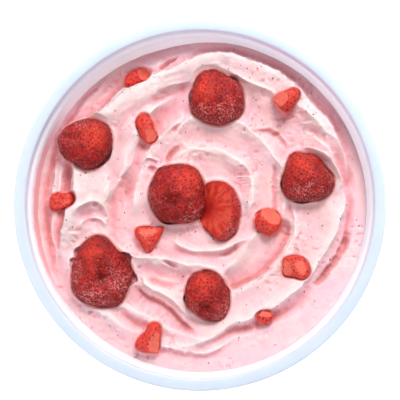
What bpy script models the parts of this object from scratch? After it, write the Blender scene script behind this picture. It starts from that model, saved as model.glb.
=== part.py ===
"""An open round tub of strawberry ice cream, swirled with a spoon and topped with strawberries.

The tub stands on its foot ring with the middle of its base at the origin, +Z up. Seen from
above, +Y is the far side and +X is to the right. The tub is one turned shell. The ice cream is
one solid whose top is a level surface with the spoon's strokes added to it: each stroke is an
arc with a crest or a groove that is steep on one side and gentle on the other. Seven large
strawberries, one of them cut in half, and nine small diced pieces lie in hollows cut to fit.
"""
import math
from collections import namedtuple

import bpy
import bmesh
import numpy as np

MM = 0.001
TINY = 1e-6

# Tub: one moulded wall, with a flat rolled rim, a seat for the lid and a recessed base; DRAFT is
# how far the small faces lean so that the tub comes out of its mould.
TUB_HEIGHT = 74.0 * MM
RIM_RADIUS = 59.0 * MM
RIM_WIDTH = 3.8 * MM
RIM_SKIRT = 4.2 * MM
RIM_ROUND = 0.6 * MM
WALL = 1.0 * MM
SEAT_DEPTH = 3.8 * MM
SEAT_STEP = 1.2 * MM
TOP_RADIUS = 53.9 * MM
FLOOR_RADIUS = 46.6 * MM
FLOOR_HEIGHT = 3.0 * MM
FLOOR_CORNER = 3.5 * MM
FOOT_WIDTH = 2.4 * MM
BASE_RECESS = 1.6 * MM
DRAFT = 0.4 * MM
TUB_SIDES = 60

# Ice cream: its mean level under the rim, the room left between neighbouring solids and to the
# wall, how far apart its vertices are and inside which radii they stand half as close, the least
# width in mm of a stroke that they can show, how much the strokes' heights are raised and how
# hollow a sagging side is, and the point in mm that the swirl and the fruit are laid out from.
FILL_DEPTH = 10.0 * MM
LEVEL = TUB_HEIGHT - FILL_DEPTH
GAP = 0.3 * MM
WALL_GAP = 0.45 * MM
HOLLOW_GAP = 0.35 * MM
RING_STEP = 1.35 * MM
OUTER_SIDES = 96
COARSE_RADIUS = 24.0 * MM
CENTRE_RADIUS = 3.0 * MM
NARROWEST = 1.3
RELIEF = 1.15
SAG = 1.8
SWIRL_MIDDLE = (-0.4, 0.7)

# Fruit: how finely each ball is divided before it is shaped, how full its sides are, the share
# of the swirl's height under it that lifts it, for berries and dice, and the highest that a top
# may stand over the ice cream's level, in mm.
BERRY_DETAIL = 3
DICE_DETAIL = 2
BERRY_FULLNESS = 2.3
DICE_FULLNESS = 2.9
NESTLE = 0.5
DICE_NESTLE = 0.9
HIGHEST = 9.0

# A spoon stroke, in mm and degrees: the angles it runs between, counted from +X, evenly spaced
# radii of its crest, its height (less than 0 for a groove), its width towards the centre and
# away from it, the share of its length over which each end fades, the centre it turns round, and
# how far its gentle side sags (1 for a crest that ends in a fine edge).
Stroke = namedtuple("Stroke", "start end radii height inside outside fade centre bow",
                    defaults=(0.2, (0, 0), 0))

STROKES = {
    "outer ridge": Stroke(5, 205, (47.6, 48.8, 49.1, 48.6, 48.8, 49.0, 49.4, 49.2, 47.7, 44.9, 44.5,
                          44.4, 43.2, 45.3, 46.9, 43.0, 40.8, 43.2, 46.5, 51.4), 3.8, 15.0, 2.0,
                          0.1),
    "left wall ring": Stroke(76, 218, (54.1, 52.0, 51.0, 51.0, 51.0, 53.6), -3.4, 5.5, 6.0),
    "left groove": Stroke(159, 200, (45.5, 43.8, 43.0, 43.4, 44.6, 46.6, 49.3), -2.6, 1.0, 3.0, 0.25),
    "left wall line": Stroke(150, 210, (49.0, 48.1, 48.0, 48.8, 51.2), 1.0, 1.4, 1.8, 0.25),
    "second wall groove": Stroke(120, 210, (51.6, 51.0, 50.6, 50.8, 52.6), -0.8, 1.2, 1.4, 0.25),
    "top left groove": Stroke(106, 150, (46.4, 46.3, 46.8, 45.6, 45.9, 49.3), -4.2, 1.4, 5.0, 0.25),
    "top slit": Stroke(97, 108, (48.2, 47.3, 46.5, 45.3), -1.8, 0.5, 0.6, 0.3),
    "second trough": Stroke(86, 188, (34.0, 32.5, 29.0, 26.0, 24.6, 23.2, 23.6, 24.6), -1.8, 5.0, 4.0),
    "top pocket": Stroke(88, 120, (37.5, 36.3, 35.3), -2.0, 4.0, 2.2, 0.35),
    "shoulder groove": Stroke(100, 145, (37.4, 36.5, 36.0, 35.9, 35.1, 31.8), -0.7, 2.5, 3.0, 0.25),
    "left flap": Stroke(98, 190, (36.2, 34.6, 31.6, 28.2, 25.6, 25.3, 26.9, 29.2, 32.5), 2.6, 4.5,
                        12.0, bow=0.3),
    "left face": Stroke(150, 215, (30.6, 27.5, 26.9, 28.2, 29.6), -1.8, 8.0, 3.0, 0.3),
    "second ridge": Stroke(6, 196, (29.6, 28.6, 28.3, 28.8, 28.3, 26.6, 24.6, 22.6, 21.3, 21.3,
                           22.2), 2.6, 7.0, 5.0, 0.1, bow=1),
    "inner ridge": Stroke(-20, 128, (15.5, 18.0, 19.0, 18.6, 18.0, 17.4, 15.9), 1.8, 5.0, 3.5, 0.14),
    "slit by the middle": Stroke(106, 134, (19.4, 18.0, 16.7), -1.6, 1.1, 0.8, 0.3),
    "right fold": Stroke(29, 56, (33.3, 33.3, 32.0, 28.6), -1.3, 1.2, 0.8, 0.25),
    "upper right crest": Stroke(14, 88, (45.0, 45.9, 45.6, 43.0, 42.0, 42.6, 43.5), 1.8, 7.5, 3.0,
                                0.25, bow=1),
    "top crease": Stroke(95, 112, (27.7, 25.9, 23.9), -1.1, 0.8, 1.1, 0.3),
    "right wall trough": Stroke(2, 36, (48.8, 48.4, 47.9, 47.0, 45.6, 43.4, 40.5), -1.6, 1.6, 2.6),
    "right flap": Stroke(3, 32, (44.5, 47.0, 46.3, 45.0, 42.6, 39.5, 35.5), 2.2, 4.0, 1.2),
    "arm": Stroke(188, 294, (36.3, 31.8, 25.1, 20.8, 19.9, 20.4, 22.2), 2.2, 4.5, 6.0, 0.14, bow=1),
    "inner ring": Stroke(228, 334, (14.3, 15.5, 16.3, 17.5, 20.0), 1.8, 3.4, 2.0),
    "lower left face": Stroke(196, 262, (26.5, 22.4, 18.8, 17.6), -0.8, 4.0, 3.0, 0.3),
    "inner crack": Stroke(290, 316, (18.3, 18.5, 18.8), -1.3, 0.9, 0.9, 0.3),
    "lower right ridge": Stroke(282, 350, (23.5, 21.6, 20.6, 20.0, 20.0), 1.2, 3.0, 4.0),
    "lower right trough": Stroke(284, 350, (28.8, 29.2, 29.5, 29.6, 29.5, 29.0), -2.8, 7.5, 1.1,
                                 0.16, bow=1),
    "trough edge": Stroke(284, 363, (30.4, 30.4, 30.6, 31.0, 31.6, 31.7, 30.8, 28.8), 1.2, 1.2, 5.0,
                          0.14),
    "right ridge": Stroke(258, 368, (47.3, 43.9, 40.9, 41.5, 42.6, 43.6, 45.8, 47.5), 2.8, 10.0, 3.0,
                          0.14),
    "right slit": Stroke(323, 349, (45.2, 45.9, 46.7, 47.5, 48.3, 48.2), -2.6, 0.6, 1.3, 0.2),
    "right slit tail": Stroke(270, 324, (47.4, 44.1, 42.7, 43.1, 43.7, 44.3, 45.3, 45.4), -1.5, 2.4,
                              2.6, 0.25),
    "far right trough": Stroke(-22, 10, (47.5, 48.3, 48.1, 46.9), -1.2, 0.9, 2.2, 0.3),
    "lower crest": Stroke(240, 286, (43.9, 46.5, 47.9, 48.1, 45.3), 1.6, 5.0, 1.4, 0.25),
    "bottom slit": Stroke(234, 253, (21.8, 22.0, 22.2), -1.5, 1.4, 1.0, 0.3),
    "bottom notch": Stroke(234, 256, (29.0, 28.4, 27.7), -1.3, 1.8, 1.2, 0.3),
    "bottom bowl": Stroke(226, 286, (27.1, 25.5, 24.9, 25.9), -1.4, 4.0, 4.0, 0.3),
    "bottom ridge": Stroke(228, 267, (32.0, 31.8, 32.0, 33.6, 36.0), 1.6, 4.5, 1.4, 0.25),
    "bottom trough": Stroke(231, 270, (34.7, 34.5, 34.8, 36.0, 38.9, 41.8), -2.4, 1.3, 5.5),
    "outer bottom ridge": Stroke(230, 278, (39.6, 39.6, 40.2, 42.0, 44.5), 1.6, 2.6, 3.6, 0.25),
    "outer bottom trough": Stroke(228, 253, (43.2, 44.1, 43.2), -1.9, 2.4, 2.4, 0.35),
    "left lobe": Stroke(-20, 178, (4.9, 4.9, 4.5, 4.7), 1.5, 2.0, 3.0, 0.2, (-34.7, -4.5)),
    "left hollow": Stroke(-180, 180, (0.0, 0.0), -1.2, 1.0, 3.4, 0.0, (-35.7, -4.7)),
    "second left lobe": Stroke(10, 176, (4.2, 4.1, 4.5), 1.3, 1.6, 2.0, 0.2, (-33.7, -9.2)),
    "small curl": Stroke(20, 190, (2.2, 2.2), 1.0, 0.9, 1.1, 0.2, (-15.2, 12.5)),
    "curl hollow": Stroke(-180, 180, (0.0, 0.0), -2.0, 1.0, 1.5, 0.0, (-14.6, 11.0)),
    "crumbly hollow": Stroke(-180, 180, (0.0, 0.0), -1.5, 1.0, 6.2, 0.0, (13.5, 7.1)),
    "lower left bank": Stroke(196, 250, (44.9, 46.3, 46.9, 44.9), 2.2, 10.0, 5.0, 0.3),
    "chunks by the crack": Stroke(-14, 34, (27.1, 27.3, 28.8), 1.2, 1.6, 2.4, 0.25),
    "crumbly crack": Stroke(-12, 30, (24.9, 24.9, 26.3), -1.1, 1.0, 0.9, 0.2),
}

# A piece of fruit, in mm and degrees: its middle, seen from above, and how far that is above the
# ice cream; evenly spaced radii of its outline, counted from +X; its height over and under the
# middle; its dents (direction, rise, width, depth) and its flat cuts (direction, rise, distance).
Fruit = namedtuple("Fruit", "x y lift outline top bottom dents cuts", defaults=((), ()))

BERRIES = {
    "strawberry_left": Fruit(-36.4, 19.3, 0.6, (8.4, 8.9, 8.5, 7.9, 7.9, 8.8, 9.1, 8.4, 7.6, 8.6,
                             8.6, 8.3), 7.0, 6.5, dents=((160, 50, 22, 0.7),)),
    "strawberry_top": Fruit(5.7, 33.6, 1.6, (8.9, 8.7, 8.0, 8.8, 9.6, 8.6, 8.6, 9.0, 8.5, 8.7, 9.0,
                            9.5), 7.2, 6.5),
    "strawberry_middle": Fruit(-6.8, 2.7, 2.2, (8.8, 9.5, 10.2, 9.6, 10.1, 9.4, 9.4, 9.5, 10.0, 9.3,
                               10.1, 10.0), 7.0, 6.5, dents=((250, 62, 30, 1.0),)),
    "strawberry_half": Fruit(6.7, -2.5, 1.0, (6.6, 6.9, 8.3, 9.4, 9.5, 7.0, 6.6, 7.3, 7.7, 9.7, 9.0,
                             7.2), 5.6, 5.5, cuts=((172, 62, 2.2),)),
    "strawberry_right": Fruit(34.5, 7.6, 1.6, (8.8, 7.3, 7.7, 8.2, 9.3, 7.6, 7.9, 8.6, 8.2, 7.3, 7.8,
                              9.0), 6.6, 6.0),
    "strawberry_lower_left": Fruit(-31.5, -22.6, 1.4, (10.4, 9.8, 9.6, 12.3, 11.3, 9.6, 9.4, 10.5,
                                   10.8, 11.0, 11.5, 10.3), 6.2, 6.5, dents=((310, 66, 34, 1.5), (95,
                                   30, 20, 0.5))),
    "strawberry_bottom": Fruit(2.8, -29.8, 1.4, (7.0, 6.9, 7.5, 8.0, 8.3, 7.7, 7.2, 7.3, 7.0, 7.7,
                               8.6, 7.8), 6.4, 6.0, dents=((265, 50, 26, 0.9),)),
}

DICES = {
    "dice_top_left": Fruit(-20.6, 41.7, 0.6, (4.0, 3.7, 2.6, 2.6, 3.3, 4.6, 2.4, 2.4), 2.6, 2.6,
                           cuts=((20, 45, 2.2),)),
    "dice_upper": Fruit(-16.8, 23.6, 0.8, (2.6, 2.9, 3.8, 5.2, 4.2, 2.7, 2.7, 3.5, 4.7, 4.2), 2.8,
                        2.4, cuts=((330, 60, 2.4),)),
    "dice_left": Fruit(-44.8, 0.8, 1.2, (4.1, 4.2, 2.6, 2.8, 3.5, 3.6, 4.2, 3.3, 2.6, 2.8), 2.4, 2.4,
                       cuts=((300, 70, 2.2),)),
    "dice_middle": Fruit(-16.2, -10.8, 0.8, (3.8, 5.3, 3.5, 3.3, 3.8, 4.8, 3.9, 3.4, 4.0, 5.0, 3.4,
                         3.1), 2.4, 2.2, cuts=((90, 80, 2.2),)),
    "dice_upper_right": Fruit(28.3, 32.8, 0.8, (3.6, 4.7, 4.3, 3.1, 2.9, 3.6, 4.3, 3.5, 3.9, 4.1,
                              3.2, 3.0), 2.8, 2.4, cuts=((160, 50, 2.1),)),
    "dice_right": Fruit(22.2, -6.1, 1.2, (4.2, 4.4, 4.4, 4.2, 4.4, 4.4, 4.4, 4.3, 4.2, 4.4, 4.3,
                        4.2), 3.4, 2.6, cuts=((55, 52, 2.6),)),
    "dice_lower_right": Fruit(30.9, -20.7, 0.8, (4.3, 4.0, 3.9, 3.9, 4.1, 4.6, 4.2, 4.7, 3.6, 3.4,
                              4.4, 4.9), 2.4, 2.2, cuts=((195, 55, 2.6), (10, 80, 2.2))),
    "dice_small": Fruit(21.2, -36.7, 0.6, (2.7, 2.4, 1.9, 2.3, 2.8, 2.5, 2.1, 2.1), 2.0, 1.8,
                        cuts=((90, 50, 1.5),)),
    "dice_bottom": Fruit(-15.5, -43.6, 0.8, (3.2, 4.1, 5.7, 5.0, 3.0, 3.0, 4.0, 5.4, 4.7, 4.3, 4.8,
                         3.7), 2.6, 2.2, cuts=((330, 62, 2.3),)),
}

COLOURS = {
    "tub": ((0.84, 0.89, 0.97), 0.35),
    "ice_cream": ((0.93, 0.62, 0.64), 0.55),
    "whole": ((0.52, 0.03, 0.03), 0.5),
    "cut": ((0.72, 0.07, 0.04), 0.45),
}


def make_material(name):
    colour, roughness = COLOURS[name]
    material = bpy.data.materials.new(name)
    material.use_nodes = True
    shader = material.node_tree.nodes["Principled BSDF"]
    shader.inputs["Base Color"].default_value = (*colour, 1.0)
    shader.inputs["Roughness"].default_value = roughness
    shader.inputs["Metallic"].default_value = 0.0
    material.diffuse_color = (*colour, 1.0)
    return material


def make_object(name, bm, material, crease=40.0):
    bmesh.ops.recalc_face_normals(bm, faces=bm.faces)
    mesh = bpy.data.meshes.new(name)
    bm.to_mesh(mesh)
    bm.free()
    mesh.shade_smooth()
    mesh.set_sharp_from_angle(angle=math.radians(crease))
    mesh.materials.append(material)
    piece = bpy.data.objects.new(name, mesh)
    bpy.context.collection.objects.link(piece)
    return piece


def smooth(t):
    """Ease from 0 to 1, level at both ends."""
    t = np.clip(t, 0.0, 1.0)
    return t * t * (3.0 - 2.0 * t)


def along(values, t):
    """The smooth curve through evenly spaced values, read where t goes from 0 to 1."""
    values = np.asarray(values, dtype=float)
    last = len(values) - 1
    place = np.clip(t, 0.0, 1.0) * last
    i = np.minimum(place.astype(int), last - 1)
    f = place - i
    before, here, there, after = (values[np.clip(i + k, 0, last)] for k in (-1, 0, 1, 2))
    return 0.5 * (2 * here + (there - before) * f
                  + (2 * before - 5 * here + 4 * there - after) * f ** 2
                  + (3 * here - before - 3 * there + after) * f ** 3)


def swirl_height(x, y, narrowest=0.0):
    """Height of the swirled surface over its mean level, in mm, at x and y in mm."""
    height = np.zeros_like(x)
    for stroke in STROKES.values():
        dx = x - SWIRL_MIDDLE[0] - stroke.centre[0]
        dy = y - SWIRL_MIDDLE[1] - stroke.centre[1]
        t = ((np.degrees(np.arctan2(dy, dx)) - stroke.start) % 360.0) / (stroke.end - stroke.start)
        offset = np.hypot(dx, dy) - along(stroke.radii, t)
        width = np.maximum(np.where(offset < 0.0, stroke.inside, stroke.outside), narrowest)
        far = np.clip(np.abs(offset) / width, 0.0, 1.0)
        share = 1.0 - smooth(far)
        gentle = (offset < 0.0) == (stroke.inside > stroke.outside)
        share += stroke.bow * gentle * ((1.0 - far) ** SAG - share)
        if stroke.fade:
            share = share * smooth(t / stroke.fade) * smooth((1.0 - t) / stroke.fade)
        height += RELIEF * stroke.height * share
    return height


def tub_inner_radius(z):
    """Radius of the tapered inside wall at height z."""
    rise = (z - FLOOR_HEIGHT) / (TUB_HEIGHT - SEAT_DEPTH - SEAT_STEP - FLOOR_HEIGHT)
    return FLOOR_RADIUS + (TOP_RADIUS - FLOOR_RADIUS) * rise


def arc(centre_r, centre_z, radius, start, end, steps):
    """Points of an arc in the turned profile, angles in degrees."""
    return [(centre_r + radius * math.cos(math.radians(start + (end - start) * i / steps)),
             centre_z + radius * math.sin(math.radians(start + (end - start) * i / steps)))
            for i in range(steps + 1)]


def tub_profile():
    """Half section of the tub, from the middle of the floor up the inside, over and down."""
    seat_z = TUB_HEIGHT - SEAT_DEPTH
    seat_radius = TOP_RADIUS + SEAT_STEP
    rim_inner = RIM_RADIUS - RIM_WIDTH
    corner_z = FLOOR_HEIGHT + FLOOR_CORNER
    corner_r = tub_inner_radius(corner_z)
    foot_r = tub_inner_radius(0.0) + WALL
    skirt_z = TUB_HEIGHT - RIM_SKIRT
    inside = [(0.0, FLOOR_HEIGHT)]
    inside += arc(corner_r - FLOOR_CORNER, corner_z, FLOOR_CORNER, -90, 0, 3)
    inside += [(TOP_RADIUS, seat_z - SEAT_STEP), (seat_radius - DRAFT / 2, seat_z),
               (rim_inner, TUB_HEIGHT - RIM_ROUND)]
    rim = [(rim_inner + RIM_ROUND, TUB_HEIGHT)]
    rim += arc(RIM_RADIUS - RIM_ROUND, TUB_HEIGHT - RIM_ROUND, RIM_ROUND, 90, 0, 2)
    under_z = TUB_HEIGHT - WALL - RIM_ROUND
    rim += [(RIM_RADIUS, skirt_z), (RIM_RADIUS - WALL, skirt_z),
            (RIM_RADIUS - WALL, under_z), (seat_radius + WALL, under_z)]
    outside = [(seat_radius + WALL, seat_z - SEAT_STEP), (TOP_RADIUS + WALL, seat_z - 2 * SEAT_STEP),
               (foot_r, BASE_RECESS * 0.5), (foot_r - DRAFT, 0.0), (foot_r - FOOT_WIDTH, 0.0),
               (foot_r - FOOT_WIDTH - DRAFT, BASE_RECESS), (0.0, BASE_RECESS)]
    return inside + rim + outside


def make_tub():
    """Turn the closed half section once round the upright axis."""
    bm = bmesh.new()
    rings = []
    for radius, z in tub_profile():
        if radius == 0.0:
            rings.append([bm.verts.new((0.0, 0.0, z))])
            continue
        turns = [2.0 * math.pi * i / TUB_SIDES for i in range(TUB_SIDES)]
        rings.append([bm.verts.new((radius * math.cos(a), radius * math.sin(a), z)) for a in turns])
    for lower, upper in zip(rings, rings[1:]):
        join_rings(bm, lower, upper)
    return make_object("tub", bm, make_material("tub"))


def join_rings(bm, inner, outer):
    """Faces between two closed rings, where one may be a point or have half the vertices."""
    if len(inner) > len(outer):
        inner, outer = outer, inner
    count = len(outer)
    for i in range(count):
        a, b = outer[i], outer[(i + 1) % count]
        if len(inner) == 1:
            bm.faces.new((inner[0], a, b))
        elif len(inner) == count:
            bm.faces.new((inner[i], a, b, inner[(i + 1) % count]))
        elif i % 2 == 0:
            bm.faces.new((inner[i // 2], a, b))
        else:
            following = inner[(i // 2 + 1) % len(inner)]
            bm.faces.new((inner[i // 2], a, following))
            bm.faces.new((following, a, b))


def fruit_directions(detail):
    """Unit directions and triangles of the ball that a piece of fruit is shaped from."""
    bm = bmesh.new()
    bmesh.ops.create_icosphere(bm, subdivisions=detail, radius=1.0)
    directions = np.array([vert.co.normalized() for vert in bm.verts])
    triangles = [[vert.index for vert in face.verts] for face in bm.faces]
    bm.free()
    return directions, triangles


def compass(turn, rise):
    """Unit vector at an angle from +X and a rise over the level, in degrees."""
    turn, rise = math.radians(turn), math.radians(rise)
    return np.array([math.cos(rise) * math.cos(turn), math.cos(rise) * math.sin(turn), math.sin(rise)])


def fruit_radius(directions, fruit, fullness):
    """Distance from the fruit's middle to its skin along each direction, in mm."""
    turn = (np.degrees(np.arctan2(directions[:, 1], directions[:, 0])) % 360.0) / 360.0
    outline = fruit.outline[-2:] + fruit.outline + fruit.outline[:2]
    count = len(fruit.outline)
    reach = along(outline, (turn * count + 2.0) / (count + 3.0))
    level = np.hypot(directions[:, 0], directions[:, 1])
    upright = np.abs(directions[:, 2]) / np.where(directions[:, 2] > 0.0, fruit.top, fruit.bottom)
    radius = ((level / reach) ** fullness + upright ** fullness) ** (-1.0 / fullness)
    for bearing, rise, width, depth in fruit.dents:
        away = np.degrees(np.arccos(np.clip(directions @ compass(bearing, rise), -1.0, 1.0)))
        radius -= depth * (1.0 - smooth(away / width))
    for bearing, rise, distance in fruit.cuts:
        facing = directions @ compass(bearing, rise)
        radius = np.where(facing * radius > distance, distance / np.maximum(facing, TINY), radius)
    return radius


def fruit_bmesh(fruit, detail, fullness, grown=0.0):
    """The piece of fruit in place, or with its skin moved out all round."""
    directions, triangles = fruit_directions(detail)
    x, y = fruit.x + SWIRL_MIDDLE[0], fruit.y + SWIRL_MIDDLE[1]
    local = float(swirl_height(np.array([x]), np.array([y]), NARROWEST)[0])
    nestle = DICE_NESTLE if fruit in DICES.values() else NESTLE
    rise = min(fruit.lift + nestle * local, HIGHEST - fruit.top)
    middle = np.array([x * MM, y * MM, LEVEL + rise * MM])
    radius = fruit_radius(directions, fruit, fullness) * MM + grown
    bm = bmesh.new()
    verts = [bm.verts.new(place) for place in middle + directions * radius[:, None]]
    for triangle in triangles:
        bm.faces.new([verts[i] for i in triangle])
    return bm


def make_ice_cream():
    """Rings of vertices from the middle of the swirl out to the wall, then down to the floor."""
    bm = bmesh.new()
    edge = tub_inner_radius(LEVEL) - WALL_GAP
    steps = round((edge - CENTRE_RADIUS) / RING_STEP)
    radii = [CENTRE_RADIUS + (edge - CENTRE_RADIUS) * i / steps for i in range(steps + 1)]
    top = bm.verts.new((0.0, 0.0, LEVEL + float(swirl_height(np.zeros(1), np.zeros(1), NARROWEST)[0]) * MM))
    rings = [[top]]
    for radius in radii:
        sides = OUTER_SIDES if radius > COARSE_RADIUS else OUTER_SIDES // 2
        if radius < COARSE_RADIUS / 2:
            sides = OUTER_SIDES // 4
        turns = np.arange(sides) * 2.0 * math.pi / sides
        x, y = radius * np.cos(turns), radius * np.sin(turns)
        z = LEVEL + swirl_height(x / MM, y / MM, NARROWEST) * MM
        if radius == radii[-1]:
            scale = (tub_inner_radius(z) - WALL_GAP) / radius
            x, y = x * scale, y * scale
        rings.append([bm.verts.new(place) for place in zip(x, y, z)])
    low = FLOOR_HEIGHT + FLOOR_CORNER
    for radius, z in ((tub_inner_radius(low) - WALL_GAP, low),
                      (tub_inner_radius(low) - FLOOR_CORNER, FLOOR_HEIGHT + GAP)):
        rings.append([bm.verts.new((radius * math.cos(a), radius * math.sin(a), z)) for a in turns])
    rings.append([bm.verts.new((0.0, 0.0, FLOOR_HEIGHT + GAP))])
    for inner, outer in zip(rings, rings[1:]):
        join_rings(bm, inner, outer)
    return make_object("ice_cream", bm, make_material("ice_cream"), crease=60.0)


def cut_hollow(target, cutter):
    """Take the cutter's space out of the target with a live Boolean."""
    hollow = target.modifiers.new("hollow " + cutter.name, "BOOLEAN")
    hollow.operation = "DIFFERENCE"
    hollow.solver = "EXACT"
    hollow.object = cutter


def make_cutter(name, fruit, detail, fullness):
    """The space that a piece of fruit takes in the ice cream, a small gap larger all round."""
    space = fruit_bmesh(fruit, detail, fullness, grown=HOLLOW_GAP)
    cutter = make_object(name + "_hollow", space, bpy.data.materials["ice_cream"])
    cutter.hide_render = True
    cutter.display_type = "WIRE"
    return cutter


def build():
    for old in list(bpy.data.objects):
        bpy.data.objects.remove(old, do_unlink=True)
    pint = bpy.data.objects.new("pint", None)
    bpy.context.collection.objects.link(pint)
    tub = make_tub()
    ice_cream = make_ice_cream()
    whole, cut = make_material("whole"), make_material("cut")
    pieces = [tub, ice_cream]
    hollows = {}
    for fruits, detail, fullness in ((BERRIES, BERRY_DETAIL, BERRY_FULLNESS),
                                     (DICES, DICE_DETAIL, DICE_FULLNESS)):
        for name, fruit in fruits.items():
            skin = cut if fruit.cuts else whole
            pieces.append(make_object(name, fruit_bmesh(fruit, detail, fullness), skin))
            hollows[name] = make_cutter(name, fruit, detail, fullness)
            cut_hollow(ice_cream, hollows[name])
    cut_hollow(bpy.data.objects["strawberry_half"], hollows["strawberry_middle"])
    for piece in pieces + list(hollows.values()):
        piece.parent = pint


build()
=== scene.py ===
import math
from collections import namedtuple

import bmesh
import bpy
import numpy as np
from mathutils import Matrix, Vector
from mathutils.kdtree import KDTree


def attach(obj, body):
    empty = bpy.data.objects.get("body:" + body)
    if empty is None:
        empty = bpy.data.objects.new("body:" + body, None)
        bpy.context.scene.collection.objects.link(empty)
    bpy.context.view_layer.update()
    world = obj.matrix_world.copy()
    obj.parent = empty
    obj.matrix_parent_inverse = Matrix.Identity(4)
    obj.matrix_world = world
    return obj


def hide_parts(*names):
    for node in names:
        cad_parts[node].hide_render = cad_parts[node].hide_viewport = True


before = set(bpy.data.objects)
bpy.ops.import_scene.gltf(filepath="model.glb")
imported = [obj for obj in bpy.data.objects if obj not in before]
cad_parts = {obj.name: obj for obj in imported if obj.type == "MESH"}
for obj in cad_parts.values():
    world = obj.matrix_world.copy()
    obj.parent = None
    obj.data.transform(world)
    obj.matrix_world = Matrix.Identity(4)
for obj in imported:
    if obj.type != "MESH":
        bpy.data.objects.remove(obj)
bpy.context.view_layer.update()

# Tub. A round tub of thin moulded polypropylene, white with a bluish cast, with a flat rolled
# rim, a seat for the lid under it and a recessed base. It is one turned shell, and a smear of
# melted ice cream has dried on the left of its inside wall. Its inside wall is painted lighter and
# given a faint painted glow, standing in for the light that fills the tub, and the band under the
# rim is painted lilac pink, deepest at the far right, as painted shade with pink light in it.
MM = 0.001
TUB_HEIGHT = 74.0 * MM
RIM_RADIUS = 59.0 * MM
RIM_WIDTH = 3.8 * MM
RIM_SKIRT = 4.2 * MM
WALL = 1.0 * MM
SEAT_DEPTH = 3.8 * MM
SEAT_STEP = 1.2 * MM
TOP_RADIUS = 53.9 * MM
FLOOR_RADIUS = 46.6 * MM
FLOOR_HEIGHT = 3.0 * MM
FOOT_WIDTH = 2.4 * MM
BASE_RECESS = 1.6 * MM
TOUCH = 0.01 * MM
TUB_SIDES = 288
CORNER_STEPS = 5
SHARP_ANGLE = 50


def tub_inner_radius(z):
    """Radius of the tapered inside wall at height z."""
    rise = (z - FLOOR_HEIGHT) / (TUB_HEIGHT - SEAT_DEPTH - SEAT_STEP - FLOOR_HEIGHT)
    return FLOOR_RADIUS + (TOP_RADIUS - FLOOR_RADIUS) * rise


def round_corner(before, corner, after, radius):
    """The points of a corner of the turned section, rounded to a radius."""
    before, corner, after = (np.array(p) for p in (before, corner, after))
    back, on = before - corner, after - corner
    reach = min(np.linalg.norm(back), np.linalg.norm(on)) * 0.49
    back, on = back / np.linalg.norm(back), on / np.linalg.norm(on)
    half = math.acos(np.clip(back @ on, -1.0, 1.0)) / 2.0
    cut = min(radius / math.tan(half), reach)
    first, last = corner + back * cut, corner + on * cut
    steps = [i / CORNER_STEPS for i in range(CORNER_STEPS + 1)]
    return [tuple((1 - t) ** 2 * first + 2 * t * (1 - t) * corner + t * t * last) for t in steps]


def tub_section():
    """Half section of the tub, from the middle of the floor up the inside, over and down."""
    seat_z = TUB_HEIGHT - SEAT_DEPTH
    seat_radius = TOP_RADIUS + SEAT_STEP
    rim_inner = RIM_RADIUS - RIM_WIDTH
    foot = tub_inner_radius(0.0) + WALL
    skirt_z = TUB_HEIGHT - RIM_SKIRT
    corners = [
        (0.0, FLOOR_HEIGHT, 0.0),
        (FLOOR_RADIUS, FLOOR_HEIGHT, 3.5 * MM),
        (TOP_RADIUS - 0.15 * MM, seat_z - 2.3 * SEAT_STEP, 0.1 * MM),
        (TOP_RADIUS, seat_z - 2.1 * SEAT_STEP, 0.1 * MM),
        (TOP_RADIUS + 0.05 * MM, seat_z - SEAT_STEP, 0.3 * MM),
        (seat_radius - 0.2 * MM, seat_z - 0.2 * SEAT_STEP, 0.4 * MM),
        (rim_inner, TUB_HEIGHT, 0.7 * MM),
        (RIM_RADIUS, TUB_HEIGHT, 0.9 * MM),
        (RIM_RADIUS, skirt_z, 0.3 * MM),
        (RIM_RADIUS - WALL, skirt_z, 0.3 * MM),
        (RIM_RADIUS - WALL, TUB_HEIGHT - 1.6 * WALL, 0.4 * MM),
        (seat_radius + WALL, TUB_HEIGHT - 1.6 * WALL, 0.5 * MM),
        (seat_radius + WALL, seat_z - SEAT_STEP, 0.5 * MM),
        (TOP_RADIUS + WALL, seat_z - 2.0 * SEAT_STEP, 0.5 * MM),
        (foot, 0.0, 0.8 * MM),
        (foot - FOOT_WIDTH, 0.0, 0.5 * MM),
        (foot - FOOT_WIDTH - 0.4 * MM, BASE_RECESS, 0.4 * MM),
        (0.0, BASE_RECESS, 0.0),
    ]
    section = [corners[0][:2]]
    for before, corner, after in zip(corners, corners[1:], corners[2:]):
        section += round_corner(before[:2], corner[:2], after[:2], corner[2])
    return section + [corners[-1][:2]]


def make_piece(name, points, faces, material, marks=None):
    """A smooth mesh piece at the origin, with a number at each vertex for each mark."""
    mesh = bpy.data.meshes.new(name)
    mesh.from_pydata(np.asarray(points).tolist(), [], faces)
    mesh.update()
    mesh.shade_smooth()
    mesh.materials.append(material)
    for mark, values in (marks or {}).items():
        layer = mesh.attributes.new(mark, "FLOAT", "POINT")
        layer.data.foreach_set("value", np.asarray(values, dtype=np.float32))
    piece = bpy.data.objects.new(name, mesh)
    bpy.context.collection.objects.link(piece)
    return piece


class Value:
    """A socket in a node tree; arithmetic on it adds Math nodes."""

    def __init__(self, owner, socket):
        self.owner = owner
        self.socket = socket

    def math(self, operation, first, second):
        return self.owner.node("ShaderNodeMath", {"operation": operation}, {0: first, 1: second})

    def __add__(self, other):
        return self.math("ADD", self, other)

    __radd__ = __add__

    def __mul__(self, other):
        return self.math("MULTIPLY", self, other)

    __rmul__ = __mul__

    def __sub__(self, other):
        return self.math("SUBTRACT", self, other)

    def __rsub__(self, other):
        return self.math("SUBTRACT", other, self)

    def size(self):
        """The value without its sign."""
        return self.owner.node("ShaderNodeMath", {"operation": "ABSOLUTE"}, {0: self})

    def smooth(self, low, high):
        """0 up to low and 1 from high on, eased between them."""
        return self.owner.node("ShaderNodeMapRange", {"interpolation_type": "SMOOTHSTEP"},
                               {"Value": self, "From Min": low, "From Max": high})


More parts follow.
